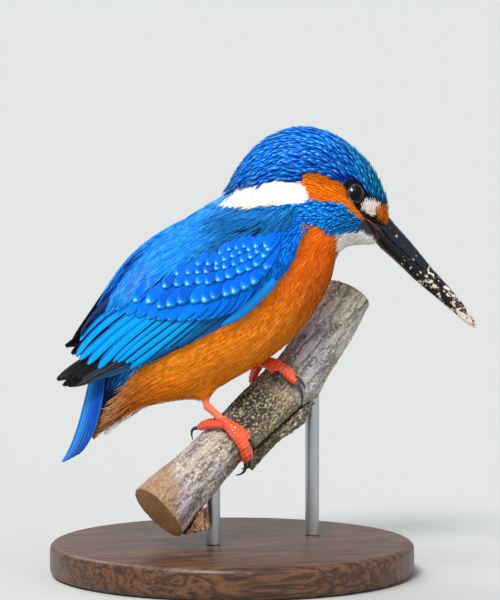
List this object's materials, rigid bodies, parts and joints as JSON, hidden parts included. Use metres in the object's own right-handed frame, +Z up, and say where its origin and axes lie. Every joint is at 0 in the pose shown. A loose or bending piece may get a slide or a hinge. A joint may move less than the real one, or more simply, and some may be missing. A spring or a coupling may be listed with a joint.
{
  "type": "common kingfisher model on a branch perch and display stand",
  "caption": "Life-size still model of a perched kingfisher, wings folded, gripping a cut length of branch held by rods over a round wooden base.",
  "frame": {"origin": "middle of the stand base's flat underside", "axes": "+X is the way the bird faces, -Y is the bird's right side, +Z is up; the bird's plane of symmetry is y = 0"},
  "size_m": [0.123, 0.104, 0.1273],
  "materials": {
    "head_feathers": "royal blue feathers with rows of pale azure spots, orange ear patch, white neck patch and blue cheek stripe",
    "neck_feathers": "azure on the nape, rufous orange on the throat side",
    "body_feathers": "rufous to golden orange underparts, bright azure back",
    "wing_feathers": "blue coverts with pale azure tips, cyan secondaries, blackish primary tips",
    "tail_feathers": "deep bright blue",
    "bill_horn": "black horn, satin, with dried mud flecks",
    "eye": "wet dark brown",
    "leg_skin": "coral red scaled skin",
    "claw_horn": "dark grey horn",
    "bark": "grey brown bark with pale lichen and olive moss",
    "peeled_wood": "peeling orange brown bark and bare wood",
    "stand_wood": "dark oiled walnut",
    "stand_steel": "brushed steel"
  },
  "bodies": {
    "root": {"head": "head_feathers", "neck": "neck_feathers", "trunk": "body_feathers", "thigh_right": "body_feathers", "thigh_left": "body_feathers", "wing_right": "wing_feathers", "wing_left": "wing_feathers", "tail": "tail_feathers", "bill_upper": "bill_horn", "bill_lower": "bill_horn", "eye_right": "eye", "eye_left": "eye", "tarsus_right": "leg_skin", "tarsus_left": "leg_skin", "foot_right": "leg_skin", "foot_left": "leg_skin", "claw_right_inner": "claw_horn", "claw_right_middle": "claw_horn", "claw_right_outer": "claw_horn", "claw_right_hind": "claw_horn", "claw_left_inner": "claw_horn", "claw_left_middle": "claw_horn", "claw_left_outer": "claw_horn", "claw_left_hind": "claw_horn", "perch_branch": "bark", "perch_twig": "bark", "perch_stub": "peeled_wood", "stand_base": "stand_wood", "stand_rod_lower": "stand_steel", "stand_rod_upper": "stand_steel"}
  },
  "joints": []
}
